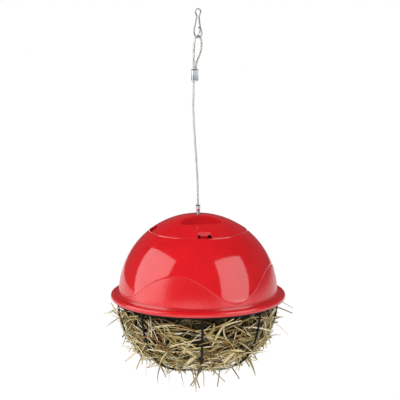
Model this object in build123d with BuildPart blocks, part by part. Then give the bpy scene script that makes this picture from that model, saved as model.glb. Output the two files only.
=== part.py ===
from build123d import *
from math import asin, cos, degrees, pi, radians, sin, sqrt, tan
import os

# A hanging treat ball: a wire clip, a sleeved steel cable, a plastic dome with a lift-up cap, and a
# wire basket full of hay. Millimetres, +Z up, origin inside the top of the clip's eye, where it hangs.

# Heights below the origin
ball_centre_z = -288.0
upper_ferrule_top_z = -59.0

# Snap clip
clip_wire = 1.5
clip_eye_bore = 4.6
clip_length = 27.6
clip_turn = -30.0
hook_radius = 4.4
neck_half_gap = 1.3
gate_length = 17.0
gate_gap = 0.2
hook_tip_gap = 0.25
clip_small_bend = 1.3

# Cable, ferrules and loops
cable_diameter = 2.0
ferrule_length = 12.0
ferrule_width = 8.0
ferrule_thickness = 4.6
ferrule_chamfer = 0.5
strand_spacing = 2.6
loop_turn = 35.0
loop_top_radius = 3.0
loop_clearance = 0.15
hook_clearance = 0.35
strand_exit = 1.6
strand_bend = 2.0
wrap_rise = 2.2

# Dome
dome_radius = 82.0
dome_wall = 2.5
neck_radius = 49.3
neck_bore = 43.0
ledge_drop = 2.6
ledge_thickness = 3.0
brim_radius = 90.0
brim_height = 5.6
brim_top = 0.6
brim_bead = 2.6
tie_turn = 39.0
tie_count = 4

# Cap
cap_turn = 8.2
cap_wall = 2.5
cap_gap = 0.4
cap_rim_width = 2.6
scoop_length = 41.0
scoop_width = 18.6
scoop_offset = 21.7
scoop_depth = 9.0
scoop_slope = 12.0
window_width = 13.4
window_inner_radius = 42.0
finger_width = 8.0
finger_thickness = 2.0
finger_lift = 0.3
finger_gap = 0.1
slot_gap = 0.5

# Hanger bar
bar_diameter = 4.0
bar_drop = 24.6
bar_chamfer = 0.4
boss_diameter = 8.0
bar_reach = 50.0
bar_fit = 0.05
washer_diameter = 12.0
washer_thickness = 1.2
washer_gap = 0.4

# Basket
basket_wire = 2.2
ring_wire = 3.0
bar_count = 8
basket_turn = 3.0
basket_radius = 82.5
basket_depth = 81.0
shoulder_radius = 48.0
bottom_ring_radius = 11.0
tie_width = 7.0
tie_thickness = 1.4
tie_head = 3.4
tie_fit = 0.05

# Hay
hay_clearance = 0.3
hay_top = 26.0
stalk_count = 44
stalk_width = 1.8
stalk_length = 15.0
stalk_turn = 137.5
stalk_wander = 7.0
stalk_first_drop = 14.0
stalk_drop_range = 70.0
stalk_lean = 0.25

os.makedirs("parts", exist_ok=True)


def bearing(angle, radius=0.0, height=0.0):
    """A point at an angle from the front, positive towards the right."""
    return Vector(radius * sin(radians(angle)), -radius * cos(radians(angle)), height)


def upright(angle, height=0.0):
    """A vertical plane through the axis: its X points along a bearing and its Y points up."""
    return Plane(origin=(0, 0, height), x_dir=bearing(angle, 1), z_dir=bearing(angle - 90, 1))


def on_sphere(radius, sphere=dome_radius):
    """The height of a sphere over its centre at a distance from its axis."""
    return sqrt(sphere**2 - radius**2)


def save(part, name):
    part.label = name
    export_step(part, f"parts/{name}.step")


# Snap clip: one bent spring wire, drawn in its own plane with X across and Y up
clip_plane = upright(90 + clip_turn)
eye_radius = (clip_eye_bore + clip_wire) / 2
eye_z = -clip_eye_bore / 2
clip_neck_z = eye_z - 1.42 * eye_radius
hook_z = -clip_length
hook_top_z = hook_z + 2.1 * hook_radius
gate_end_z = clip_neck_z - gate_length
eye_side_z = eye_z - 0.215 * eye_radius
eye_top_z = eye_z + eye_radius
lean = clip_wire + hook_tip_gap
gate_share = 0.35
body_points = [
    (0.3 * hook_radius, hook_top_z + 0.6, lean),
    (hook_radius, hook_top_z - 0.4, lean),
    (hook_radius, hook_z + hook_radius + 0.6, 0),
    (hook_radius, hook_z, 0),
    (-hook_radius, hook_z, 0),
    (-hook_radius, hook_z + 1.7 * hook_radius, 0),
    (-neck_half_gap, clip_neck_z, 0),
    (-eye_radius, eye_side_z, 0),
    (-eye_radius, eye_top_z, 0),
    (eye_radius, eye_top_z, 0),
    (eye_radius, eye_side_z, 0),
    (neck_half_gap + gate_share * (eye_radius - neck_half_gap),
     clip_neck_z + gate_share * (eye_side_z - clip_neck_z), 0),
]
body_radii = [clip_small_bend, 2.0, 0.98 * hook_radius, 0.98 * hook_radius, 12.0, clip_small_bend]
body_radii += [eye_radius, 0.98 * eye_radius, 0.98 * eye_radius, eye_radius]
gate_start = Vector(*body_points[-1])
gate_along = (Vector(neck_half_gap, clip_neck_z, 0) - gate_start).normalized()
gate_points = [
    tuple(gate_start + gate_along * gate_gap),
    (neck_half_gap, clip_neck_z, 0),
    (neck_half_gap + 0.15, clip_neck_z - 0.25 * gate_length, 0),
    (0.58 * hook_radius, clip_neck_z - 0.68 * gate_length, 0),
    (0.4 * hook_radius, gate_end_z, 0),
]

with BuildPart() as clip_body:
    with BuildLine(clip_plane):
        wire = FilletPolyline(*body_points, radius=body_radii)
    with BuildSketch(Plane(origin=wire @ 0, z_dir=wire % 0)):
        Circle(clip_wire / 2)
    sweep(path=wire)
save(clip_body.part, "clip_body")

with BuildPart() as clip_gate:
    with BuildLine(clip_plane):
        wire = FilletPolyline(*gate_points, radius=[clip_small_bend, 6.0, 6.0])
    with BuildSketch(Plane(origin=wire @ 0, z_dir=wire % 0)):
        Circle(clip_wire / 2)
    sweep(path=wire)
save(clip_gate.part, "clip_gate")
gate_hinge = clip_plane.from_local_coords(gate_start)
print("gate hinge", gate_hinge)

# Upper loop and cable: all in one upright plane, X along the loop's turn, Y up
loop_plane = upright(90 + loop_turn)
strand_x = -5.2
dead_x = strand_x + strand_spacing
loop_top_z = hook_z + (clip_wire + cable_diameter) / 2 + hook_clearance
ferrule_bottom_z = upper_ferrule_top_z - ferrule_length
loop_points = [
    (strand_x, upper_ferrule_top_z),
    (strand_x - 0.1, upper_ferrule_top_z + 9.0),
    (-4.7, loop_top_z - 8.0),
    (-2.6, loop_top_z),
    (2.6, loop_top_z),
    (4.9, loop_top_z - 8.0),
    (3.4, loop_top_z - 17.0),
    (dead_x, upper_ferrule_top_z + 6.0),
    (dead_x, upper_ferrule_top_z),
]
loop_radii = [14.0, 14.0, loop_top_radius, loop_top_radius, 9.0, 14.0, 8.0]

cap_top_z = ball_centre_z + dome_radius
lower_ferrule_top_z = cap_top_z + 8.8
lower_ferrule_bottom_z = lower_ferrule_top_z - ferrule_length
cable_points = [
    (0, lower_ferrule_top_z),
    (0, lower_ferrule_top_z + 18.0),
    (-1.6, lower_ferrule_top_z + 42.0),
    (-4.0, lower_ferrule_top_z + 71.0),
    (-5.9, lower_ferrule_top_z + 98.0),
    (strand_x, ferrule_bottom_z - 8.0),
    (strand_x, ferrule_bottom_z),
]


def cable_tube(plane, points, radii):
    """A round cable along straight runs with rounded corners, in one plane."""
    with BuildPart() as tube:
        with BuildLine(plane):
            route = FilletPolyline(*points, radius=radii)
        with BuildSketch(Plane(origin=route @ 0, z_dir=route % 0)):
            Circle(cable_diameter / 2)
        sweep(path=route)
    section = pi * cable_diameter**2 / 4
    print("cable length", round(route.length, 2), "volume over section times length",
          round(tube.part.volume / (section * route.length), 4))
    return tube.part


def largest_radii(points):
    """The radius of each corner: 0.45 of its shorter run, over the tangent of half the turn."""
    radii = []
    for before, at, after in zip(points, points[1:], points[2:]):
        first, second = Vector(*at) - Vector(*before), Vector(*after) - Vector(*at)
        run = min(first.length, second.length)
        radii.append(0.45 * run / tan(radians(first.get_angle(second)) / 2))
    print("cable radii", [round(radius, 1) for radius in radii])
    return radii


save(cable_tube(loop_plane, loop_points, loop_radii), "cable_loop_upper")
save(cable_tube(loop_plane, cable_points, largest_radii(cable_points)), "cable_run")

with BuildPart() as upper_ferrule:
    with BuildSketch(Plane(origin=(0, 0, ferrule_bottom_z), x_dir=loop_plane.x_dir)):
        with Locations((strand_x + strand_spacing / 2, 0)):
            SlotOverall(ferrule_width, ferrule_thickness)
    extrude(amount=ferrule_length)
    chamfer(upper_ferrule.edges().filter_by(Plane.XY), ferrule_chamfer)
save(upper_ferrule.part, "upper_ferrule")

# Lower ferrule and the loop under it: the strands stand in the cap's front-to-back plane
bar_z = cap_top_z - bar_drop
lower_plane = upright(cap_turn)
wrap_radius = bar_diameter / 2 + loop_clearance + cable_diameter / 2
with BuildPart() as lower_ferrule:
    with BuildSketch(Plane(origin=(0, 0, lower_ferrule_bottom_z), x_dir=lower_plane.x_dir)):
        SlotOverall(ferrule_width, ferrule_thickness)
    extrude(amount=ferrule_length)
    chamfer(lower_ferrule.edges().filter_by(Plane.XY), ferrule_chamfer)
save(lower_ferrule.part, "lower_ferrule")

lower_points = [
    (-strand_spacing / 2, lower_ferrule_bottom_z),
    (-strand_spacing / 2, lower_ferrule_bottom_z - strand_exit),
    (-wrap_radius, bar_z + wrap_rise),
    (-wrap_radius, bar_z - wrap_radius),
    (wrap_radius, bar_z - wrap_radius),
    (wrap_radius, bar_z + wrap_rise),
    (strand_spacing / 2, lower_ferrule_bottom_z - strand_exit),
    (strand_spacing / 2, lower_ferrule_bottom_z),
]
wrap = 0.99 * wrap_radius
lower_radii = [strand_bend, strand_bend, wrap, wrap, strand_bend, strand_bend]
save(cable_tube(lower_plane, lower_points, lower_radii), "cable_loop_lower")

# Hanger bar across the neck, with a washer each side of the loop
bar_section = Plane(origin=(0, 0, bar_z), z_dir=bearing(cap_turn + 90, 1))
with BuildPart() as hanger_bar:
    with BuildSketch(bar_section.offset(-bar_reach)):
        Circle(bar_diameter / 2)
    extrude(amount=2 * bar_reach)
    chamfer(hanger_bar.edges().filter_by(GeomType.CIRCLE), bar_chamfer)
save(hanger_bar.part, "hanger_bar")

washer_place = cable_diameter / 2 + washer_gap
for name, side in (("washer_left", -washer_place - washer_thickness), ("washer_right", washer_place)):
    with BuildPart() as washer:
        with BuildSketch(bar_section.offset(side)):
            Circle(washer_diameter / 2)
            Circle(bar_diameter / 2 + bar_fit, mode=Mode.SUBTRACT)
        extrude(amount=washer_thickness)
    save(washer.part, name)

# Dome: a thin shell with a rolled brim, a ledge for the cap and two bosses for the hanger bar
ball_plane = upright(90, ball_centre_z)
inner_radius = dome_radius - dome_wall
neck_z = on_sphere(neck_radius)
ledge_z = neck_z - ledge_drop
ledge_under = ledge_z - ledge_thickness
brim_bottom = brim_top - brim_height
brim_root = brim_radius - brim_bead
ring_z = brim_bottom - ring_wire / 2
boss_reach = on_sphere(bar_z - ball_centre_z + boss_diameter / 2, inner_radius) + dome_wall / 2
stem_radius = basket_radius + ring_wire / 2 + tie_fit + tie_thickness / 2


def sphere_point(radius, elevation):
    return (radius * cos(elevation), radius * sin(elevation))


def sphere_arc(radius, low, high):
    """An arc about the ball's centre between two heights."""
    first, last = asin(low / radius), asin(high / radius)
    ThreePointArc(
        sphere_point(radius, first),
        sphere_point(radius, (first + last) / 2),
        sphere_point(radius, last),
    )


with BuildPart() as dome:
    with BuildSketch(ball_plane):
        with BuildLine():
            sphere_arc(dome_radius, brim_top, neck_z)
            Polyline(
                (neck_radius, neck_z),
                (neck_radius, ledge_z),
                (neck_bore, ledge_z),
                (neck_bore, ledge_under),
                (on_sphere(ledge_under, inner_radius), ledge_under),
            )
            sphere_arc(inner_radius, 0, ledge_under)
            Polyline((inner_radius, 0), (inner_radius, brim_bottom), (brim_root, brim_bottom))
            ThreePointArc(
                (brim_root, brim_bottom),
                (brim_radius, (brim_top + brim_bottom) / 2),
                (brim_root, brim_top),
            )
            Line((brim_root, brim_top), (on_sphere(brim_top), brim_top))
        make_face()
    revolve(axis=Axis.Z)
    for side in (-1, 1):
        with BuildSketch(bar_section.offset(side * neck_bore)):
            Circle(boss_diameter / 2)
        extrude(amount=side * (boss_reach - neck_bore))
    with BuildSketch(bar_section.offset(-bar_reach)):
        Circle(bar_diameter / 2 + bar_fit)
    extrude(amount=2 * bar_reach, mode=Mode.SUBTRACT)
    for index in range(tie_count):
        angle = tie_turn + index * 360 / tie_count
        with BuildSketch(upright(angle, ball_centre_z)):
            with Locations((stem_radius, (brim_top + brim_bottom) / 2)):
                Rectangle(tie_thickness + 2 * tie_fit, 2 * brim_height)
        extrude(amount=tie_width / 2 + tie_fit, both=True, mode=Mode.SUBTRACT)
save(dome.part, "dome")

# Cap: the ball's crown, with two finger scoops, four rim windows with a spring finger in each, and a slot
cap_radius = neck_radius - cap_gap
cap_inner = dome_radius - cap_wall
rim_radius = cap_radius - cap_rim_width
scoop_floor = on_sphere(scoop_offset) - scoop_depth + scoop_width / 2 * tan(radians(scoop_slope))


def scoop_plane(angle):
    """The floor of a finger scoop, which rises away from the ball's axis."""
    up = Vector(0, 0, cos(radians(scoop_slope))) - bearing(angle, sin(radians(scoop_slope)))
    middle = bearing(angle, scoop_offset, ball_centre_z + scoop_floor)
    return Plane(origin=middle, x_dir=bearing(angle + 90, 1), z_dir=up)


with BuildPart() as cap:
    with BuildSketch(ball_plane):
        with BuildLine():
            sphere_arc(dome_radius, on_sphere(cap_radius), dome_radius)
            Polyline(
                (cap_radius, on_sphere(cap_radius)),
                (cap_radius, ledge_z),
                (rim_radius, ledge_z),
                (rim_radius, on_sphere(rim_radius, cap_inner)),
            )
            sphere_arc(cap_inner, on_sphere(rim_radius, cap_inner), cap_inner)
            Line((0, cap_inner), (0, dome_radius))
        make_face()
    revolve(axis=Axis.Z)
    for angle in (cap_turn, cap_turn + 180):
        with BuildSketch(scoop_plane(angle).offset(-cap_wall)):
            Ellipse(scoop_length / 2 + cap_wall, scoop_width / 2 + cap_wall)
        extrude(amount=2 * scoop_depth + cap_wall)
    with Locations((0, 0, ball_centre_z)):
        Sphere(dome_radius, mode=Mode.INTERSECT)
    for angle in (cap_turn, cap_turn + 180):
        with BuildSketch(scoop_plane(angle)):
            Ellipse(scoop_length / 2, scoop_width / 2)
        extrude(amount=2 * scoop_depth, mode=Mode.SUBTRACT)
    for index in range(4):
        angle = cap_turn + index * 90
        side = upright(angle, ball_centre_z)
        with BuildSketch(side):
            with Locations(((window_inner_radius + dome_radius) / 2, dome_radius / 2)):
                Rectangle(dome_radius - window_inner_radius, dome_radius)
        extrude(amount=window_width / 2, both=True, mode=Mode.SUBTRACT)
        finger_outer = on_sphere(finger_width / 2, neck_bore - finger_gap)
        finger_inner = finger_outer - finger_thickness
        finger_bottom = ledge_under + finger_lift
        finger_top = on_sphere(finger_inner, cap_inner) + cap_wall / 3
        with BuildSketch(side):
            with Locations(((finger_inner + finger_outer) / 2, (finger_bottom + finger_top) / 2)):
                Rectangle(finger_thickness, finger_top - finger_bottom)
        extrude(amount=finger_width / 2, both=True)
    with BuildSketch(Plane(origin=(0, 0, cap_top_z - dome_wall - scoop_depth), x_dir=lower_plane.x_dir)):
        SlotOverall(ferrule_width + 2 * slot_gap, ferrule_thickness + 2 * slot_gap)
    extrude(amount=2 * scoop_depth, mode=Mode.SUBTRACT)
save(cap.part, "cap")

# Ring ties: a saddle round the basket's top ring, with a stem up through the brim and a head above it
for index in range(tie_count):
    with BuildPart() as tie:
        with BuildSketch(upright(tie_turn + index * 360 / tie_count, ball_centre_z)):
            with Locations((basket_radius, ring_z)):
                Circle(ring_wire / 2 + tie_fit + tie_thickness)
            with Locations((basket_radius, brim_bottom + brim_height)):
                Rectangle(4 * brim_height, 2 * brim_height, mode=Mode.SUBTRACT)
            with Locations((stem_radius, (ring_z + brim_top) / 2)):
                Rectangle(tie_thickness, brim_top - ring_z)
            with Locations((stem_radius, brim_top + tie_thickness / 2)):
                Rectangle(tie_head, tie_thickness)
            with Locations((basket_radius, ring_z)):
                Circle(ring_wire / 2 + tie_fit, mode=Mode.SUBTRACT)
        extrude(amount=tie_width / 2, both=True)
    save(tie.part, f"ring_tie_{index + 1}")

# Basket: a top ring under the brim, bars of three tangent arcs each, and a small bottom ring
third = radians(30)
basket_drop = basket_depth + ring_z
bend_gain = cos(third) - cos(2 * third)
floor_extra = (basket_radius - basket_drop) / bend_gain
side_radius = basket_radius - bend_gain * shoulder_radius - cos(2 * third) * floor_extra
side_radius /= 1 - cos(third) + cos(2 * third)
floor_radius = side_radius + floor_extra
ring_angle = degrees(asin(bottom_ring_radius / floor_radius))
bottom_ring_z = floor_radius * (1 - cos(radians(ring_angle))) - basket_depth
print("bar arcs", round(side_radius, 1), shoulder_radius, round(floor_radius, 1))


def basket_line(out, last):
    """The bars' own curve, moved outwards, from the top ring down to an angle short of the bottom."""
    side = JernArc((basket_radius + out, ring_z), (0, -1), side_radius + out, -30)
    shoulder = JernArc(side @ 1, side % 1, shoulder_radius + out, -30)
    return JernArc(shoulder @ 1, shoulder % 1, floor_radius + out, last - 30)


with BuildPart() as top_ring:
    with Locations((0, 0, ball_centre_z + ring_z)):
        Torus(basket_radius, ring_wire / 2)
save(top_ring.part, "basket_top_ring")

with BuildPart() as bottom_ring:
    with Locations((0, 0, ball_centre_z + bottom_ring_z)):
        Torus(bottom_ring_radius, basket_wire / 2)
save(bottom_ring.part, "basket_bottom_ring")

bars = []
for index in range(bar_count):
    with BuildPart() as bar:
        with BuildLine(upright(basket_turn + index * 360 / bar_count, ball_centre_z)) as path:
            basket_line(0, ring_angle)
        with BuildSketch(Plane(origin=path.line @ 0, z_dir=path.line % 0)):
            Circle(basket_wire / 2)
        sweep(path=path.line)
        add(top_ring.part, mode=Mode.SUBTRACT)
        add(bottom_ring.part, mode=Mode.SUBTRACT)
    bars.append(bar.part)
    save(bar.part, f"basket_bar_{index + 1}")

# Hay: one packed body inside the bars and up inside the dome
hay_inset = basket_wire / 2 + hay_clearance
hay_neck = basket_radius - ring_wire / 2 - tie_thickness - tie_fit - hay_clearance
hay_shoulder_z = ring_z - ring_wire / 2 - tie_thickness - tie_fit - hay_clearance
hay_inner = inner_radius - hay_clearance
with BuildPart() as hay_fill:
    with BuildSketch(ball_plane):
        with BuildLine() as outline:
            basket_line(-hay_inset, 0)
            Polyline(outline.line @ 1, (0, ring_z), (basket_radius - hay_inset, ring_z))
        make_face()
        with Locations((basket_radius, ring_z)):
            Rectangle(2 * (basket_radius - hay_neck), 2 * (ring_z - hay_shoulder_z), mode=Mode.SUBTRACT)
    revolve(axis=Axis.Z)
    with BuildSketch(ball_plane):
        with BuildLine():
            Polyline((hay_neck, ring_z), (0, ring_z), (0, hay_top), (on_sphere(hay_top, hay_inner), hay_top))
            sphere_arc(hay_inner, 0, hay_top)
            Polyline((hay_inner, 0), (hay_neck, brim_bottom), (hay_neck, ring_z))
        make_face()
    revolve(axis=Axis.Z)
    with Locations((0, 0, ball_centre_z + bottom_ring_z)):
        Torus(bottom_ring_radius, hay_inset, mode=Mode.SUBTRACT)
save(hay_fill.part, "hay_fill")

# Loose stalks that poke out between the bars, longest at the bottom
with BuildPart() as hay_stalks:
    for index in range(stalk_count):
        share = (index + 0.5) / stalk_count
        gap = (index * 3) % bar_count + 0.5
        wander = stalk_wander * sin(radians(stalk_turn * index))
        angle = basket_turn + gap * 360 / bar_count + wander
        drop = radians(stalk_first_drop + stalk_drop_range * share)
        out = Vector(0, 0, -sin(drop)) + bearing(angle, cos(drop))
        lean = bearing(angle + 90, stalk_lean * sin(radians(2 * stalk_turn * index)))
        along = (out + lean * (1 - share)).normalized()
        start = Vector(0, 0, ball_centre_z) + out * (0.9 * basket_depth)
        with BuildSketch(Plane(origin=start, z_dir=along)):
            Rectangle(stalk_width, stalk_width / 2)
        extrude(amount=0.2 * basket_depth + stalk_length * (0.5 + 0.5 * share))
    add(hay_fill.part, mode=Mode.SUBTRACT)
    with Locations((0, 0, ball_centre_z + bottom_ring_z)):
        Torus(bottom_ring_radius, hay_inset, mode=Mode.SUBTRACT)
save(hay_stalks.part, "hay_stalks")
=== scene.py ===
import bpy
import random
from math import asin, atan2, ceil, cos, exp, pi, radians, sin, sqrt
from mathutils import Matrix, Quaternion, Vector, noise


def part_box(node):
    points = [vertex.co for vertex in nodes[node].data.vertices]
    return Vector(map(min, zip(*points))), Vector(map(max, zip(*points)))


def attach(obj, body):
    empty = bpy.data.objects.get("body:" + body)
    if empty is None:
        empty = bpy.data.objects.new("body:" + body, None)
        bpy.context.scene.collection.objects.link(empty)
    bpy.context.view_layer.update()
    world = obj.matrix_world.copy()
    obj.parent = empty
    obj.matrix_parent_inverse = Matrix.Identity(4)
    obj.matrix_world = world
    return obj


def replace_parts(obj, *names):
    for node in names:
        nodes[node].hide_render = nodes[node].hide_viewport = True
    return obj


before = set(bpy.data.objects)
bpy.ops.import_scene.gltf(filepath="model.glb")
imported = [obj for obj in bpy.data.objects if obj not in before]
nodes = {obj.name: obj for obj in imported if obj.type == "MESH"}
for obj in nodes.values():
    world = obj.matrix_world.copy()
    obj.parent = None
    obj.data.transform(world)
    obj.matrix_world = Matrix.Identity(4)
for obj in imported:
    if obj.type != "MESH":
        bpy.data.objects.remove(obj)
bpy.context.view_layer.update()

# Camera, floor and lights
# The ball hangs in a white studio, seen from a little above its brim. The gloss of the dome mirrors
# two large softboxes, left and right of the camera, and the metal mirrors two narrow ones.
ring_low, ring_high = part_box("basket_top_ring")
ring_drop = 0.0065
ball_middle = (ring_low.z + ring_high.z) / 2 + ring_drop
camera_side, camera_distance, camera_rise, camera_pitch = 0.002, 1.264, 0.303, 9.3
camera = bpy.data.objects.new("camera", bpy.data.cameras.new("camera"))
camera.data.sensor_width = 36
camera.data.lens = 113
camera.location = (camera_side, -camera_distance, ball_middle + camera_rise)
camera.rotation_euler = (radians(90 - camera_pitch), 0, 0)
bpy.context.scene.collection.objects.link(camera)
bpy.context.scene.camera = camera
bpy.context.scene.view_settings.view_transform = "Standard"


class Value:
    """A shader socket that takes part in sums: each operator adds its Math node."""

    def __init__(self, shades, socket):
        self.shades, self.socket = shades, socket

    def maths(self, operation, first, second):
        return self.shades.node("ShaderNodeMath", {"operation": operation}, {0: first, 1: second})

    def __add__(self, other):
        return self.maths("ADD", self, other)

    def __sub__(self, other):
        return self.maths("SUBTRACT", self, other)

    def __rsub__(self, other):
        return self.maths("SUBTRACT", other, self)

    def __mul__(self, other):
        return self.maths("MULTIPLY", self, other)

    __radd__, __rmul__ = __add__, __mul__

    def over(self, other):
        return self.maths("MAXIMUM", self, other)


class Shades:
    """The node tree of a material or of the world, emptied and filled again."""

    def __init__(self, owner):
        owner.use_nodes = True
        self.owner, self.tree = owner, owner.node_tree
        self.tree.nodes.clear()

    def node(self, kind, settings=None, sockets=None, output=0):
        made = self.tree.nodes.new(kind)
        for name, setting in (settings or {}).items():
            if name == "stops":
                ramp = made.color_ramp.elements
                while len(ramp) < len(setting):
                    ramp.new(1)
                for stop, (position, colour) in zip(ramp, setting):
                    stop.position, stop.color = position, (*colour, 1)
            else:
                setattr(made, name, setting)
        for name, given in (sockets or {}).items():
            if isinstance(given, Value):
                self.tree.links.new(given.socket, made.inputs[name])
            elif isinstance(given, tuple) and made.inputs[name].type == "RGBA":
                made.inputs[name].default_value = (*given, 1)
            else:
                made.inputs[name].default_value = given
        return Value(self, made.outputs[output])

    def noise(self, scale, detail=3.0, stretch=(1, 1, 1)):
        here = self.node("ShaderNodeTexCoord", output="Object")
        placed = self.node("ShaderNodeMapping", {}, {"Vector": here, "Scale": stretch})
        sockets = {"Vector": placed, "Scale": scale, "Detail": detail}
        return self.node("ShaderNodeTexNoise", {}, sockets)

    def painted(self, attribute):
        """A value that the mesh carries at its points."""
        return self.node("ShaderNodeAttribute", {"attribute_name": attribute}, output="Fac")

    def ramp(self, factor, *stops):
        return self.node("ShaderNodeValToRGB", {"stops": stops}, {"Fac": factor})

    def smooth_step(self, value, start, end):
        """0 up to the start, 1 from the end on, and a smooth rise between them."""
        settings = {"interpolation_type": "SMOOTHSTEP"}
        return self.node("ShaderNodeMapRange", settings, {0: value, 1: start, 2: end})

    def blend_colours(self, share, first, second):
        settings = {"data_type": "RGBA", "blend_type": "MIX"}
        return self.node("ShaderNodeMix", settings, {0: share, 6: first, 7: second}, output=2)

    def bump(self, height, strength, distance):
        sockets = {"Height": height, "Strength": strength, "Distance": distance}
        return self.node("ShaderNodeBump", {}, sockets)

    def shader(self, **sockets):
        named = {name.replace("_", " "): given for name, given in sockets.items()}
        return self.node("ShaderNodeBsdfPrincipled", {}, named)

    def finish(self, shader, kind="ShaderNodeOutputMaterial"):
        made = self.tree.nodes.new(kind)
        self.tree.links.new(shader.socket, made.inputs["Surface"])
        return self.owner

    def rays(self, *kinds):
        """For each kind, 1 where a ray of that kind arrives and 0 for all others."""
        return [self.node("ShaderNodeLightPath", output=f"Is {kind} Ray") for kind in kinds]


def link(name, data):
    made = bpy.data.objects.new(name, data)
    bpy.context.scene.collection.objects.link(made)
    return made


def mesh_piece(name, points, faces, material):
    """A smooth-shaded mesh object of one material."""
    mesh = bpy.data.meshes.new(name)
    mesh.from_pydata(points, [], faces)
    mesh.shade_smooth()
    mesh.materials.append(material)
    return link(name, mesh)


bpy.context.scene.world = bpy.data.worlds.new("studio")
air = Shades(bpy.context.scene.world)
air_light, room_light, backdrop_light = 0.42, 0.07, 0.12
way = air.node("ShaderNodeTexCoord", output="Generated")
backward, upward = (air.node("ShaderNodeSeparateXYZ", {}, {0: way}, output=axis) for axis in "YZ")
behind = air.smooth_step(backward, -0.75, 0.35)
overhead = air.smooth_step(upward, 0.25, 0.75)
backdrop = room_light + (backdrop_light - room_light) * (behind * (1 - overhead))
camera_ray, gloss_ray, clear_ray, soft_ray = air.rays("Camera", "Glossy", "Transmission", "Diffuse")
glow = air.node("ShaderNodeBackground", {}, {
    "Color": (1.0, 1.0, 1.0),
    "Strength": camera_ray.over(clear_ray).over(gloss_ray * backdrop).over(air_light * soft_ray)})
air.finish(glow, "ShaderNodeOutputWorld")

floor_half, floor_height = 40.0, -2.6
paper = Shades(bpy.data.materials.new("white_paper"))
pale = paper.node("ShaderNodeBsdfDiffuse", {}, {"Color": (0.8, 0.8, 0.8)})
shaded = paper.node("ShaderNodeBsdfDiffuse", {}, {"Color": (0.14, 0.14, 0.14)})
white = paper.node("ShaderNodeEmission", {}, {"Color": (1.0, 1.0, 1.0), "Strength": 0.95})
lit_white = paper.node("ShaderNodeAddShader", {}, {0: shaded, 1: white})
camera_ray, gloss_ray, clear_ray = paper.rays("Camera", "Glossy", "Transmission")
seen_directly = camera_ray.over(gloss_ray).over(clear_ray)
paper.finish(paper.node("ShaderNodeMixShader", {}, {0: seen_directly, 1: pale, 2: lit_white}))
floor_corners = [(x * floor_half, y * floor_half, floor_height)
                 for x, y in ((-1, -1), (1, -1), (1, 1), (-1, 1))]
mesh_piece("floor", floor_corners, [(0, 1, 2, 3)], paper.owner)


def lamp(name, bearing, elevation, distance, size, watts, roll=0.0, mirrored_by=None):
    """A soft lamp that faces the ball. It gives plain light, or only the gloss of some pieces."""
    bearing, elevation = radians(bearing), radians(elevation)
    light = bpy.data.lights.new(name, "AREA")
    light.shape, light.energy = "RECTANGLE", watts
    light.size, light.size_y = size
    made = link(name, light)
    out = Vector((sin(bearing) * cos(elevation), -cos(bearing) * cos(elevation), sin(elevation)))
    made.location = Vector((0, 0, ball_middle)) + out * distance
    made.rotation_euler = (out.to_track_quat("Z", "Y") @ Quaternion((0, 0, 1), radians(roll))).to_euler()
    made.visible_camera = False
    made.visible_glossy = bool(mirrored_by)
    made.visible_diffuse = not mirrored_by
    if mirrored_by:
        made.light_linking.receiver_collection = mirrored_by


glossy_dome = bpy.data.collections.new("glossy_dome")
glossy_metal = bpy.data.collections.new("glossy_metal")
lamp("key", -70, 35, 1.2, (0.7, 0.7), 7.5)
lamp("fill", 60, 35, 1.2, (0.7, 0.7), 4.5)
lamp("front", -8, -14, 1.3, (0.8, 0.5), 8.5)
lamp("back", 165, 45, 1.2, (0.8, 0.8), 3.5)
lamp("left_softbox", -77, 21, 1.0, (1.05, 1.12), 7.6, roll=12, mirrored_by=glossy_dome)
lamp("right_softbox", 57, 22, 1.0, (0.80, 1.12), 5.4, roll=-12, mirrored_by=glossy_dome)
lamp("left_glow", -55, 12, 1.0, (0.5, 1.2), 3.4, mirrored_by=glossy_metal)
lamp("right_glow", 60, 12, 1.0, (0.4, 1.2), 1.2, mirrored_by=glossy_metal)

# Sleeved cable
# Twisted steel strands in a clear plastic sleeve, 2 mm over all. It runs 126 mm from the dome's
# ferrule up to the upper one, and its ends are turned back as loops in the two ferrules.
cable_diameter = 0.002
strand_width, strand_lay, strand_step = 0.0006, 0.009, 0.0006
strand_sides, outer_strands = 6, 6
loop_turn, cap_turn = radians(125), radians(8.2)
upright = Vector((0, 0, 1))


def towards(turn):
    """The level direction at a turn from the front, seen from above."""
    return Vector((sin(turn), -cos(turn), 0))


def along_bearing(turn, across, height):
    """A point that far out at a turn from the front, in metres from millimetres."""
    return Vector((across * sin(turn), -across * cos(turn), height)) / 1000


cable_run_route = [(0, -197.2), (0, -179.2), (-1.6, -155.2), (-4.0, -126.2), (-5.9, -99.2),
                   (-5.2, -79), (-5.2, -71)]
upper_loop_route = [(-5.2, -59), (-5.3, -50), (-4.7, -33.5), (-2.6, -25.5), (2.6, -25.5),
                    (4.9, -33.5), (3.4, -42.5), (-2.6, -53), (-2.6, -59)]
lower_loop_route = [(-1.3, -209.2), (-1.3, -210.8), (-3.15, -228.4), (-3.15, -233.75),
                    (3.15, -233.75), (3.15, -228.4), (1.3, -210.8), (1.3, -209.2)]

sleeve = Shades(bpy.data.materials.new("clear_sleeve"))
rubbed = sleeve.noise(900.0, stretch=(1, 1, 0.2))
sleeve.finish(sleeve.shader(
    Base_Color=sleeve.ramp(rubbed, (0.3, (0.80, 0.80, 0.78)), (0.7, (0.93, 0.93, 0.92))),
    Roughness=0.08 + 0.14 * rubbed, Transmission_Weight=1.0, IOR=1.42))

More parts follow.
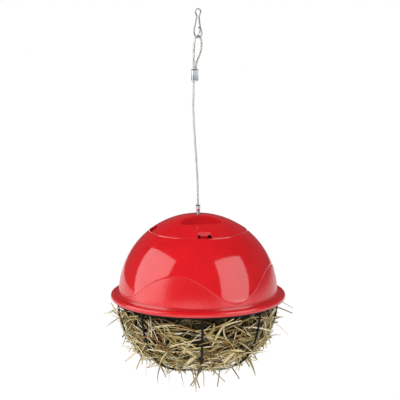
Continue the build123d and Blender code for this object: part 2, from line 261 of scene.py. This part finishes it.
strand_steel = Shades(bpy.data.materials.new("strand_steel"))
drawn = strand_steel.noise(2600.0, stretch=(1, 1, 0.3))
strand_steel.finish(strand_steel.shader(
    Base_Color=strand_steel.ramp(drawn, (0.3, (0.52, 0.51, 0.49)), (0.7, (0.78, 0.77, 0.74))),
    Metallic=1.0, Roughness=0.28 + 0.2 * drawn, Normal=strand_steel.bump(drawn, 0.2, 0.00003)))


def ring_round(middle, along, side, width, thickness, sides):
    """The points of one oval ring round a line."""
    up = along.cross(side).normalized()
    turns = [2 * pi * index / sides for index in range(sides)]
    return [middle + side * (width / 2 * cos(turn)) + up * (thickness / 2 * sin(turn)) for turn in turns]


def skin(rings, sides, start=0):
    """The faces that join rings of points one after another, closed at both ends."""
    faces = []
    for ring in range(rings - 1):
        for side in range(sides):
            low, next_low = start + ring * sides + side, start + ring * sides + (side + 1) % sides
            faces.append((low, next_low, next_low + sides, low + sides))
    faces.append(tuple(reversed(range(start, start + sides))))
    faces.append(tuple(range(start + (rings - 1) * sides, start + rings * sides)))
    return faces


def even_spots(line, spacing):
    """Places at even distances on a line: the point, the line's direction and the distance."""
    lengths = [0.0]
    for before, after in zip(line, line[1:]):
        lengths.append(lengths[-1] + (after - before).length)
    count = ceil(lengths[-1] / spacing)
    spots, reached = [], 0
    for index in range(count + 1):
        target = lengths[-1] * index / count
        while reached < len(line) - 2 and lengths[reached + 1] < target:
            reached += 1
        span = lengths[reached + 1] - lengths[reached]
        share = (target - lengths[reached]) / span if span else 0
        along = (line[reached + 1] - line[reached]).normalized()
        spots.append((line[reached].lerp(line[reached + 1], share), along, target))
    return spots


def cable(name, turn, route, body):
    """A cord along its route, with seven strands that follow the line of its spline."""
    curve = bpy.data.curves.new(name + "_sleeve", "CURVE")
    curve.dimensions = "3D"
    spline = curve.splines.new("NURBS")
    spline.points.add(len(route) - 1)
    for point, (across, height) in zip(spline.points, route):
        point.co = (*along_bearing(turn, across, height), 1)
    spline.order_u = 3
    spline.use_endpoint_u = True
    curve.resolution_u = 24
    piece = link(name + "_sleeve", curve)
    line = [vertex.co.copy() for vertex in bpy.data.meshes.new_from_object(piece).vertices]
    curve.bevel_depth = cable_diameter / 2
    curve.bevel_resolution = 6
    curve.use_fill_caps = True
    curve.materials.append(sleeve.owner)

    across_loop = towards(turn + pi / 2)
    spots = even_spots(line, strand_step)
    points, faces = [], []
    for strand in range(outer_strands + 1):
        start = len(points)
        from_middle = strand_width if strand < outer_strands else 0
        for middle, along, distance in spots:
            twist = 2 * pi * (distance / strand_lay + strand / outer_strands)
            out = across_loop * cos(twist) + along.cross(across_loop) * sin(twist)
            points += ring_round(middle + out * from_middle, along, across_loop,
                                 strand_width, strand_width, strand_sides)
        faces += skin(len(spots), strand_sides, start)
    strands = mesh_piece(name + "_strands", points, faces, strand_steel.owner)
    for made in (piece, strands):
        glossy_metal.objects.link(made)
        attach(made, body)
    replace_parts(piece, name)
    along_bearing(turn, *route[0])


cable("cable_run", loop_turn, cable_run_route, "cable")
cable("cable_loop_upper", loop_turn, upper_loop_route, "cable")
cable("cable_loop_lower", cap_turn, lower_loop_route, "ball")

# Ferrules
# Oval aluminium sleeves that hold the doubled cable. Each is pressed in along the middle, between
# the two strands, which leaves two round lobes, a full rim at each end and a waist that is slight in
# the upper one and deep in the lower.
ferrule_length, ferrule_width, ferrule_thickness = 0.012, 0.008, 0.0046
ferrule_stations, ferrule_sides = 49, 40
rim_bend, rim_inset, end_inner, end_outer = 0.0006, 0.12, 0.45, 0.9
pressed_from, pressed_share, pressed_width, pressed_depth = 0.12, 0.76, 0.03, 0.10
waist_share = 0.15
valley_width, valley_depth = 0.0012, 0.24
pressed = Shades(bpy.data.materials.new("pressed_aluminium"))
scuff = pressed.noise(1400.0, stretch=(1, 1, 0.25))
cloud = pressed.noise(260.0)
pressed.finish(pressed.shader(
    Base_Color=pressed.ramp(cloud, (0.3, (0.62, 0.65, 0.70)), (0.7, (0.80, 0.83, 0.88))),
    Metallic=1.0, Roughness=0.26 + 0.25 * scuff, Normal=pressed.bump(scuff, 0.25, 0.00005)))


def bell(offset):
    """1 in the middle, falling smoothly to 0 on both sides."""
    return exp(-(offset**2))


def ferrule(node, turn, body, pinch):
    """A pressed sleeve in the place of its CAD node, with a waist as deep as the pinch says."""
    low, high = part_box(node)
    middle = (low + high) / 2
    side = towards(turn)
    rings = []
    for station in range(ferrule_stations):
        share = station / (ferrule_stations - 1)
        from_end = min(share, 1 - share) * ferrule_length
        rim = 1 - rim_inset * max(0.0, 1 - from_end / rim_bend) ** 2
        press = sin(pi * min(1.0, max(0.0, (share - pressed_from) / pressed_share))) ** 0.5
        waist = bell((share - 0.5) / waist_share) * pinch
        width = ferrule_width * rim * (1 - pressed_width * press - waist)
        thickness = ferrule_thickness * rim * (1 - pressed_depth * press - 0.5 * waist)
        rings.append((share, 1.0, width, thickness))
    end = rings[0][2:]
    rings = [(0.0, end_inner, *end), (0.0, end_outer, *end), *rings,
             (1.0, end_outer, *end), (1.0, end_inner, *end)]
    points = []
    for share, size, width, thickness in rings:
        height = low.z + share * ferrule_length
        straight = (width - thickness) / 2
        for index in range(ferrule_sides):
            angle = 2 * pi * index / ferrule_sides
            across = width / 2 * cos(angle)
            past = max(0.0, abs(across) - straight)
            deep = sqrt(max(0.0, (thickness / 2) ** 2 - past**2)) * (1 if sin(angle) >= 0 else -1)
            deep *= 1 - valley_depth * bell(across / valley_width)
            points.append(Vector((middle.x, middle.y, height)) + side * (across * size)
                          + side.cross(upright) * (deep * size))
    made = mesh_piece(node + "_sleeve", points, skin(len(rings), ferrule_sides), pressed.owner)
    glossy_metal.objects.link(made)
    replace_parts(made, node)
    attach(made, body)


ferrule("upper_ferrule", loop_turn, "cable", 0.03)
ferrule("lower_ferrule", cap_turn, "ball", 0.20)

# Snap clip
# One piece of zinc-plated spring wire, bent to an eye, a hook and a springy gate that closes on it.
# The eye hangs on whatever holds the ball, and the upper loop of the cable hangs in the hook.
zinc = Shades(bpy.data.materials.new("zinc_wire"))
grain = zinc.noise(1800.0, stretch=(1, 1, 0.3))
haze = zinc.noise(300.0)
zinc.finish(zinc.shader(
    Base_Color=zinc.ramp(haze, (0.3, (0.42, 0.41, 0.41)), (0.7, (0.62, 0.61, 0.61))),
    Metallic=1.0, Roughness=0.24 + 0.22 * grain, Normal=zinc.bump(grain, 0.2, 0.00004)))


def dress(node, material):
    """A CAD node keeps its shape and gets its material."""
    nodes[node].data.materials.clear()
    nodes[node].data.materials.append(material)


for node in ("clip_body", "clip_gate"):
    dress(node, zinc.owner)
    glossy_metal.objects.link(nodes[node])

# Hanger bar and washers
# A plain steel rod lies across the dome's neck, with its ends in two bosses, and carries the lower
# loop. Two thin steel washers on the rod keep the loop in the middle.
rod = Shades(bpy.data.materials.new("rod_steel"))
turned = rod.noise(1200.0, stretch=(0.2, 1, 1))
rod.finish(rod.shader(
    Base_Color=rod.ramp(turned, (0.3, (0.40, 0.40, 0.41)), (0.7, (0.62, 0.62, 0.63))),
    Metallic=1.0, Roughness=0.3 + 0.2 * turned, Normal=rod.bump(turned, 0.2, 0.00004)))
for node in ("hanger_bar", "washer_left", "washer_right"):
    dress(node, rod.owner)
    glossy_metal.objects.link(nodes[node])

# Dome
# A thin moulded shell of glossy red plastic with a channelled brim, a round neck for the cap and two
# bosses for the hanger bar. A wave runs round it: above the wave the plastic is polished, and below
# it a satin skin steps in.
dome_radius, dome_wall, neck_radius, neck_bore = 0.082, 0.0025, 0.0493, 0.043
ledge_drop, ledge_thickness, edge = 0.0026, 0.003, 0.0004
brim_radius, brim_top, brim_bottom = 0.090, 0.0006, -0.005
brim_corner, brim_roll, brim_foot = 0.0018, 0.0027, 0.0010
channel_depth, channel_bend, channel_gap = 0.0013, 0.0016, 0.0021
wave_middle, wave_height, wave_turn, wave_count = radians(14.2), radians(10.0), radians(-16), 4
wave_flatness, wave_step, wave_half_width, brim_satin = 0.09, 0.0003, 0.00055, 0.6
boss_radius, boss_rise, boss_reach, boss_sides = 0.004, 0.0574, 0.0517, 24
azimuths, rows_below, rows_above, step_rows = 288, 22, 34, (-1.0, -0.5, -0.2, 0.2, 0.5, 1.0)


def plastic(name, satin):
    """Red plastic. Its satin part, where there is one, lies below the wave."""
    red = Shades(bpy.data.materials.new(name))
    ripple = red.noise(90.0, detail=2.0)
    dust = red.noise(2400.0, detail=4.0)
    colour = red.ramp(ripple, (0.3, (0.66, 0.007, 0.012)), (0.7, (0.72, 0.008, 0.014)))
    rough = 0.07 + 0.05 * dust
    surface = 0.08 * ripple + 0.02 * dust
    if satin:
        mask = red.painted("satin")
        rough = rough + 0.18 * mask
        surface = surface + 0.25 * (mask * red.noise(5200.0, detail=4.0))
        colour = red.blend_colours(mask, colour, (0.66, 0.004, 0.009))
    return red.finish(red.shader(
        Base_Color=colour, Roughness=rough, IOR=1.45, Specular_IOR_Level=1.0,
        Normal=red.bump(surface, 0.18, 0.00025)))


def wave(azimuth):
    """How high over the brim's level the wave runs, as an angle at the ball's centre."""
    swing = wave_count * (azimuth - wave_turn)
    return wave_middle + wave_height * (cos(swing) - wave_flatness * cos(2 * swing))


def in_ball(azimuth, across, height):
    """A point at a turn from the front, that far from the axis and that high over the ball's middle."""
    return Vector((across * sin(azimuth), -across * cos(azimuth), ball_middle + height))


def sphere_at(radius, height):
    """How wide a ball of that radius is at a height over its middle, from its axis."""
    return sqrt(radius**2 - height**2)


def arc_points(middle, radius, start, end, count):
    """Points on a bend of a profile, from one angle to another."""
    turns = [start + (end - start) * index / (count - 1) for index in range(count)]
    return [(middle[0] + radius * cos(turn), middle[1] + radius * sin(turn)) for turn in turns]


inner_radius = dome_radius - dome_wall
neck_z = sphere_at(dome_radius, neck_radius)
ledge_z = neck_z - ledge_drop
ledge_under = ledge_z - ledge_thickness
channel_floor = brim_top - channel_depth
brim_profile = [
    *arc_points((brim_radius - brim_corner, brim_bottom + brim_corner), brim_corner, -pi / 2, 0, 6),
    *arc_points((brim_radius - brim_roll, brim_top - brim_roll), brim_roll, 0, pi * 0.60, 12),
    *arc_points((dome_radius + channel_gap, channel_floor + channel_bend), channel_bend,
                -pi * 0.35, -pi * 0.92, 9),
]
inside_profile = [
    (neck_radius + edge, neck_z - 0.25 * edge), (neck_radius + 0.25 * edge, neck_z - edge),
    (neck_radius, neck_z - 2 * edge),
    (neck_radius, ledge_z + edge), (neck_radius - edge, ledge_z), (neck_bore + edge, ledge_z),
    (neck_bore, ledge_z - edge), (neck_bore, ledge_under + edge), (neck_bore + edge, ledge_under),
    (sphere_at(inner_radius, ledge_under) - edge, ledge_under),
    *arc_points((0, 0), inner_radius, asin(ledge_under / inner_radius), 0.0, 20),
    (inner_radius, -5 * edge), (inner_radius, brim_bottom + edge), (inner_radius + edge, brim_bottom),
]
foot = asin((brim_top + brim_foot) / dome_radius)
neck_edge = asin((neck_z - 0.5 * edge) / dome_radius)
half_step = wave_half_width / dome_radius


def outside_rows(crest):
    """The dome's outside from the brim to the neck, as rows of angle, radius and share of satin."""
    below, above = crest - half_step - foot, neck_edge - crest - half_step
    rows = [(foot + below * row / (rows_below - 1), dome_radius - wave_step, 1.0)
            for row in range(rows_below)]
    for step in step_rows:
        rise = 0.5 + 0.5 * sin(pi / 2 * step)
        rows.append((crest + half_step * step, dome_radius - wave_step * (1 - rise), 1 - rise))
    rows += [(crest + half_step + above * row / (rows_above - 1), dome_radius, 0.0)
             for row in range(1, rows_above)]
    return rows


points, satin, faces = [], [], []
for index in range(azimuths):
    azimuth = 2 * pi * index / azimuths
    profile = [(x, z, brim_satin) for x, z in brim_profile]
    profile += [(radius * cos(angle), radius * sin(angle), mask)
                for angle, radius, mask in outside_rows(wave(azimuth))]
    profile += [(x, z, 0.0) for x, z in inside_profile]
    for x, z, mask in profile:
        points.append(in_ball(azimuth, x, z))
        satin.append(mask)
    rows = len(profile)
    for row in range(rows):
        here, beside = index * rows, (index + 1) % azimuths * rows
        above = (row + 1) % rows
        faces.append((here + row, beside + row, beside + above, here + above))
boss_rings = ((neck_bore, 0.9), (neck_bore + edge, 1.0), (boss_reach, 1.0))
for azimuth in (cap_turn + pi / 2, cap_turn - pi / 2):
    start = len(points)
    for across, size in boss_rings:
        middle = in_ball(azimuth, across, boss_rise)
        width = 2 * boss_radius * size
        points += ring_round(middle, towards(azimuth), upright, width, width, boss_sides)
        satin += [0.0] * boss_sides
    faces += skin(len(boss_rings), boss_sides, start)
dome = mesh_piece("dome_shell", points, faces, plastic("dome_red", True))
dome.data.attributes.new("satin", "FLOAT", "POINT").data.foreach_set("value", satin)
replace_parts(dome, "dome")
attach(dome, "ball")
glossy_dome.objects.link(dome)

# Cap
# The dome's crown lifts out as a cap of the same red plastic, with two finger scoops, four rim
# windows and a slot for the cable. It keeps its CAD shape, and its edges are softened.
dress("cap", plastic("cap_red", False))
weld = nodes["cap"].modifiers.new("joined", "WELD")
weld.merge_threshold = 0.00001
soft_edge = nodes["cap"].modifiers.new("soft_edge", "BEVEL")
soft_edge.width, soft_edge.segments = 0.0009, 4
soft_edge.limit_method, soft_edge.angle_limit = "ANGLE", radians(40)

# Basket
# Eight round steel bars, bent to a bowl and welded to a top ring and a small bottom one, all in a
# black coating with a fine orange peel. They keep their CAD shape.
coat = Shades(bpy.data.materials.new("black_coating"))
orange_peel = coat.noise(1500.0)
worn = coat.noise(140.0)
coat.finish(coat.shader(
    Base_Color=coat.ramp(worn, (0.35, (0.004, 0.004, 0.004)), (0.75, (0.012, 0.012, 0.012))),
    Roughness=0.34 + 0.2 * orange_peel, IOR=1.25,
    Normal=coat.bump(orange_peel, 0.3, 0.00006)))
for node in nodes:
    if node.startswith("basket"):
        dress(node, coat.owner)

# Ring ties
# Four straps of black plastic that go down through the floor of the brim's channel and wrap round
# the top ring, which holds the basket under the dome. Only their heads show, as dark marks.
tie_count, first_tie = 4, radians(39)
ring_radius, ring_wire, wrap_points = 0.0825, 0.003, 9
head_top, head_under, over_brim_bottom, under_brim = 0.0009, 0.0003, 0.0015, 0.0001
strap_thickness, strap_width, head_width, strap_off, strap_sides = 0.0011, 0.007, 0.0032, 0.00075, 8
wrap = ring_wire / 2 + strap_off
tie_black = Shades(bpy.data.materials.new("tie_black"))
moulded = tie_black.noise(1200.0)
tie_black.finish(tie_black.shader(
    Base_Color=tie_black.ramp(moulded, (0.3, (0.020, 0.012, 0.012)), (0.7, (0.04, 0.024, 0.024))),
    Roughness=0.45 + 0.15 * moulded, Normal=tie_black.bump(moulded, 0.25, 0.00005)))
head_heights = (channel_floor + head_top, channel_floor + head_under, brim_bottom + over_brim_bottom)
strap_line = [(ring_radius + wrap, height) for height in head_heights]
strap_line += arc_points((ring_radius, -ring_drop), wrap, 0, -pi, wrap_points)
strap_line += [(ring_radius - wrap, brim_bottom - under_brim)]
for index in range(tie_count):
    azimuth = first_tie + 2 * pi * index / tie_count
    line = [in_ball(azimuth, x, z) for x, z in strap_line]
    points = []
    for place, middle in enumerate(line):
        before, after = line[max(place - 1, 0)], line[min(place + 1, len(line) - 1)]
        width = head_width if place < len(head_heights) else strap_width
        points += ring_round(middle, (after - before).normalized(), towards(azimuth + pi / 2),
                             width, strap_thickness, strap_sides)
    tie = mesh_piece(f"ring_strap_{index + 1}", points, skin(len(line), strap_sides), tie_black.owner)
    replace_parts(tie, f"ring_tie_{index + 1}")
    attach(tie, "ball")

# Packed hay
# Dried hay pressed into the bowl: pale and olive stems, wide blades and brown curls that lie every
# way between the bars. Painted shade makes the stalks darker the deeper they lie, brighter at the
# outside.
basket_radius, side_radius, shoulder_radius, floor_radius = 0.0825, 0.0852, 0.048, 0.107
first_bar, bar_count = radians(3), 8
bar_clear, ring_clear, brim_clear = 0.0021, 0.004, 0.003
brim_reach, ring_reach = 0.006, 0.011
lump_height, lumps = 0.004, 3
# Painted shade of the stalks: none within shade_start inside the bars' bowl, then darker over
# shade_depth, at most deepest_shade.
shade_start, shade_depth, deepest_shade = 0.002, 0.006, 0.97
stalk_sides, widest_share, untapered, tone_swing = 4, 0.45, 0.1, 0.05
shortest, longest, narrowest, widest = 0.6, 1.3, 0.7, 1.25
level_share, side_tilt = 0.75, 0.8
curl_bend, plain_points, curl_points = 0.004, 6, 9
hay_draw = random.Random(11)

dry = Shades(bpy.data.materials.new("dry_hay"))
stem_colour = dry.ramp(
    dry.painted("tone"), (0.0, (0.22, 0.085, 0.030)), (0.16, (0.44, 0.25, 0.10)),
    (0.34, (0.40, 0.31, 0.10)), (0.52, (0.66, 0.53, 0.24)), (0.72, (0.94, 0.80, 0.46)),
    (0.88, (0.98, 0.91, 0.66)), (1.0, (0.52, 0.54, 0.32)))
fibres = dry.noise(1500.0, detail=4.0)
blotch = dry.noise(120.0)
mottled = dry.blend_colours(0.15 * blotch, stem_colour, (0.24, 0.17, 0.07))
# The base colour is blended towards near-black by each stalk's painted shade, darker for stalks deeper in
# the bowl.
dry.finish(dry.shader(
    Base_Color=dry.blend_colours(dry.painted("depth"), mottled, (0.035, 0.025, 0.010)),
    Roughness=0.55 + 0.25 * fibres, Specular_IOR_Level=0.3,
    Normal=dry.bump(fibres, 0.5, 0.00012)))

# The bars' bowl is three arcs: the turn down from the top ring where each starts, its middle's place
# across and up, and its radius.
bowl_arcs = [(-pi, basket_radius - side_radius, -ring_drop, side_radius)]
for start, wider in ((pi / 6, shoulder_radius), (pi / 3, floor_radius)):
    _, x, z, radius = bowl_arcs[-1]
    bowl_arcs.append((start, x + (radius - wider) * cos(start), z - (radius - wider) * sin(start), wider))


def bowl(turn, out):
    """How far from the axis and how high a point is that lies so far outside the bars' bowl."""
    for start, x, z, radius in bowl_arcs:
        if turn > start:
            place = (x + (radius + out) * cos(turn), z - (radius + out) * sin(turn))
    return place


def bowl_gap(across, down):
    """How far outside the bars' bowl a point is, below the top ring."""
    for start, x, z, radius in bowl_arcs:
        if atan2(down + z, across - x) <= start:
            break
        gap = sqrt((across - x) ** 2 + (down + z) ** 2) - radius
    return gap


def spot(azimuth, turn, out):
    """A point over the bowl, by its turn from the front and its turn down from the top ring."""
    return in_ball(azimuth, *bowl(turn, out))


def facing(azimuth, turn):
    """The direction straight out of the bowl there."""
    return Vector((cos(turn) * sin(azimuth), -cos(turn) * cos(azimuth), -sin(turn)))


def hits_bar(point):
    """True where a point of a stalk is too near a bar, the top ring or the brim."""
    across = sqrt(point.x**2 + point.y**2)
    down = ball_middle - point.z
    if down < brim_reach:
        return across > basket_radius - brim_clear
    if down < ring_reach and across > basket_radius - ring_clear:
        return across < basket_radius + ring_clear
    spacing = 2 * pi / bar_count
    off = (atan2(point.x, -point.y) - first_bar + spacing / 2) % spacing - spacing / 2
    return abs(off) * across < bar_clear and abs(bowl_gap(across, down)) < bar_clear


class Heap:
    """Stalks gathered into one mesh."""

    def __init__(self):
        self.points, self.faces, self.tones, self.painted_shades = [], [], [], []

    def stalk(self, line, side, width, thickness, tone, depth, taper):
        start = len(self.points)
        for index, middle in enumerate(line):
            share = index / (len(line) - 1)
            along = (line[min(index + 1, len(line) - 1)] - line[max(index - 1, 0)]).normalized()
            across = (side - along * side.dot(along)).normalized()
            narrow = 1 - taper * max(0.0, 2 * abs(share - widest_share) - untapered) ** 1.5
            self.points += ring_round(middle, along, across,
                                      width * narrow, thickness * narrow, stalk_sides)
            wavering = tone + tone_swing * sin(7 * share + 30 * tone)
            self.tones += [min(1.0, max(0.0, wavering))] * stalk_sides
            self.painted_shades += [depth] * stalk_sides
        self.faces += skin(len(line), stalk_sides, start)

    def piece(self, name):
        made = mesh_piece(name, self.points, self.faces, dry.owner)
        # Each stalk's tone and its painted shade go onto its points.
        for attribute, values in (("tone", self.tones), ("depth", self.painted_shades)):
            made.data.attributes.new(attribute, "FLOAT", "POINT").data.foreach_set("value", values)
        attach(made, "ball")
        return made


def bent_line(middle, along, bend_to, length, bend, count):
    """A stalk's line: straight with a bow towards one side."""
    line = []
    for index in range(count):
        share = 2 * index / (count - 1) - 1
        line.append(middle + along * (length / 2 * share) + bend_to * (bend * (1 - share * share)))
    return line


def draw_tone():
    """A stalk's tone by chance: brown, olive, straw or, seldom, grey-green."""
    pick = hay_draw.random()
    if pick < 0.11:
        return hay_draw.uniform(0.0, 0.14)
    if pick < 0.42:
        return hay_draw.uniform(0.2, 0.5)
    if pick < 0.90:
        return hay_draw.uniform(0.5, 0.86)
    return hay_draw.uniform(0.9, 1.0)


def scatter(heap, count, kinds, low, high, tilt, fall):
    """Stalks strewn over the bowl between two depths, turned every way and tilted out a little."""
    placed = 0
    while placed < count:
        azimuth = hay_draw.uniform(0, 2 * pi)
        turn = asin(hay_draw.random())
        length, width, thickness, bend, taper = kinds[hay_draw.randrange(len(kinds))]
        length *= hay_draw.uniform(shortest, longest)
        out = hay_draw.uniform(low, high)
        over_bowl = Vector((lumps * sin(azimuth), lumps * cos(azimuth), lumps * turn))
        middle = spot(azimuth, turn, out + lump_height * noise.noise(over_bowl))
        normal = facing(azimuth, turn)
        around = normal.cross(upright).normalized()
        level = hay_draw.random() < level_share
        spin = hay_draw.gauss(0, 1) * fall if level else hay_draw.uniform(0, pi)
        along = around * cos(spin) + around.cross(normal) * sin(spin)
        along = (along + normal * hay_draw.gauss(0, tilt)).normalized()
        side = (along.cross(normal) + normal * hay_draw.uniform(-side_tilt, side_tilt)).normalized()
        with_bowl = length * length / 8 / basket_radius
        bow = along.cross(normal) * hay_draw.gauss(0, bend) - normal * with_bowl
        points_along = plain_points if bend < curl_bend else curl_points
        line = bent_line(middle, along, bow.normalized(), length, bow.length, points_along)
        if any(hits_bar(point) for point in line):
            continue
        tone = draw_tone()
        # Painted shade: none near the outside of the bowl, growing darker for stalks that lie deeper in
        # it.
        depth = min(deepest_shade, max(0.0, (-shade_start - out) / shade_depth))
        width *= hay_draw.uniform(narrowest, widest)
        heap.stalk(line, side, width, thickness, tone, depth, taper)
        placed += 1


# Each kind of stalk: its length, width, thickness, bow and taper.
stem = (0.036, 0.0016, 0.0013, 0.0010, 0.25)
long_stem = (0.052, 0.0015, 0.0012, 0.0030, 0.3)
fine_stem = (0.026, 0.0009, 0.0007, 0.0020, 0.3)
blade = (0.032, 0.0030, 0.00045, 0.0024, 0.9)
wide_blade = (0.024, 0.0048, 0.0004, 0.0028, 0.95)
curl = (0.024, 0.0012, 0.0006, 0.0065, 0.7)

# Each layer: how many stalks, of which kinds, between which depths, how far tilted out and turned.
hay_bed = Heap()
scatter(hay_bed, 1250, (stem, blade, blade, fine_stem, wide_blade), -0.012, -0.006, 0.10, 0.9)
scatter(hay_bed, 480, (stem, long_stem, blade, wide_blade, fine_stem, curl), -0.006, -0.003, 0.14, 0.8)
scatter(hay_bed, 340, (stem, long_stem, blade, wide_blade, fine_stem), -0.003, -0.0005, 0.16, 0.8)
hay_bed.piece("hay_bed")

# Loose hay
# Stalks of the same hay that have worked their way out between the bars. Most are strewn all round,
# and a few that hang far out of the front half are listed one by one.
hair = (0.020, 0.0004, 0.0004, 0.006, 0.5)
sprig_spread, sprig_sag = 0.8, 0.35
# Each sprig: its bearing and turn in degrees, its rise in mm, its length, kind and tone.
sprigs = [
    (-9, 84, 4.0, 0.030, stem, 0.08), (-4, 87, 3.0, 0.034, stem, 0.12), (2, 86, 3.5, 0.032, stem, 0.80),
    (6, 83, 4.5, 0.036, long_stem, 0.76), (-16, 82, 4.0, 0.028, stem, 0.60),
    (-12, 86, 4.5, 0.030, blade, 0.10), (14, 80, 3.0, 0.026, stem, 0.68),
    (-30, 74, 3.0, 0.030, blade, 0.62), (-52, 66, 3.5, 0.030, curl, 0.05),
    (-60, 58, 4.5, 0.026, hair, 0.95), (-46, 70, 4.0, 0.032, blade, 0.66),
    (-70, 40, 3.0, 0.030, stem, 0.72), (-80, 12, 4.5, 0.024, stem, 0.96),
    (-84, 6, 4.0, 0.026, fine_stem, 0.98), (-76, 4, 3.0, 0.022, stem, 0.9),
    (84, 6, 4.0, 0.026, stem, 0.10), (90, 3, 4.5, 0.028, fine_stem, 0.12),
    (78, 16, 4.5, 0.030, fine_stem, 0.70), (64, 56, 4.0, 0.030, blade, 0.30),
    (52, 66, 3.5, 0.026, stem, 0.06), (38, 72, 3.0, 0.028, stem, 0.34)]
hay_loose = Heap()
scatter(hay_loose, 230, (stem, fine_stem, long_stem, blade, curl), -0.003, 0.002, 0.20, 0.9)
for azimuth, turn, rise, length, kind, tone in sprigs:
    azimuth, turn = radians(azimuth), radians(turn)
    normal = facing(azimuth, turn)
    around = normal.cross(upright).normalized()
    aside = around * hay_draw.uniform(-sprig_spread, sprig_spread)
    along = (normal + aside - upright * sprig_sag).normalized()
    _, width, thickness, bend, taper = kind
    bend *= hay_draw.choice((-1, 1))
    line = bent_line(spot(azimuth, turn, rise / 1000), along, around, length, bend, curl_points)
    hay_loose.stalk(line, normal.cross(along).normalized(), width, thickness, tone, 0.0, taper)
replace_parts(hay_loose.piece("hay_loose"), "hay_stalks")

# Hay core
# The inside of the imported hay, as a rough core coloured near-black: painted shade that makes the gaps
# between the stalks dark. It fills the bowl under the stalks and stands up into the dome as a rough
# cushion.
hay_top, core_drop, core_inset, core_tip = 0.026, 0.006, 0.0085, 0.0005
core_rings, core_sides, bowl_share, wall_share = 40, 96, 0.7, 0.4
core_roughness, core_grain = 0.0025, 120
# Near-black colour of the core: painted shade, speckled with a slightly lighter brown.
core_painted_shade = Shades(bpy.data.materials.new("hay_core_painted_shade"))
core_speckle = core_painted_shade.noise(700.0, detail=6.0)
core_painted_shade.finish(core_painted_shade.shader(
    Base_Color=core_painted_shade.ramp(core_speckle, (0.35, (0.006, 0.004, 0.002)), (0.75, (0.05, 0.036, 0.015))),
    Roughness=0.85, Normal=core_painted_shade.bump(core_speckle, 1.0, 0.002)))
points = []
for ring in range(core_rings):
    share = ring / (core_rings - 1)
    if share < bowl_share:
        across, height = bowl(pi / 2 * (1 - share / bowl_share), -core_inset)
    else:
        lift = (share - bowl_share) / (1 - bowl_share)
        across = (basket_radius - core_inset) * (1 - max(0.0, lift - wall_share) / (1 - wall_share))
        height = -ring_drop + (hay_top + ring_drop - core_drop) * min(1.0, lift / wall_share)
    across = max(across, core_tip)
    for side in range(core_sides):
        azimuth = 2 * pi * side / core_sides
        where = Vector((across * sin(azimuth), across * cos(azimuth), height))
        rough = core_roughness * noise.noise(where * core_grain)
        points.append(in_ball(azimuth, across + rough, height + rough))
hay_core = mesh_piece("hay_core", points, skin(core_rings, core_sides), core_painted_shade.owner)
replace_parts(hay_core, "hay_fill")
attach(hay_core, "ball")

# Hay crown
# The top of the hay under the dome, which shows when the cap is lifted: the same stalks, lying
# nearly level on the core and clear of the dome's wall.
crown_count, crown_kinds = 700, (stem, blade, fine_stem, wide_blade)
crown_radius, crown_reach, crown_depth, wall_clear = 0.072, 0.078, 0.007, 0.002
crown_tilt, crown_spare = 0.08, 0.3
hay_crown = Heap()
for index in range(crown_count):
    azimuth, across = hay_draw.uniform(0, 2 * pi), crown_radius * sqrt(hay_draw.random())
    middle = in_ball(azimuth, across, hay_top - hay_draw.uniform(0, crown_depth))
    spin = hay_draw.uniform(0, pi)
    along = Vector((cos(spin), sin(spin), hay_draw.gauss(0, crown_tilt))).normalized()
    length, width, thickness, bend, taper = crown_kinds[index % len(crown_kinds)]
    length *= min(1.0, 2 * (crown_reach - across) / length + crown_spare)
    line = bent_line(middle, along, upright, length, hay_draw.gauss(0, bend), plain_points)
    if any((point - upright * ball_middle).length > inner_radius - wall_clear for point in line):
        continue
    side = along.cross(upright).normalized()
    # Each crown stalk gets a painted shade at random, up to half of the darkest.
    hay_crown.stalk(line, side, width, thickness, draw_tone(), hay_draw.uniform(0, 0.5), taper)
hay_crown.piece("hay_crown")
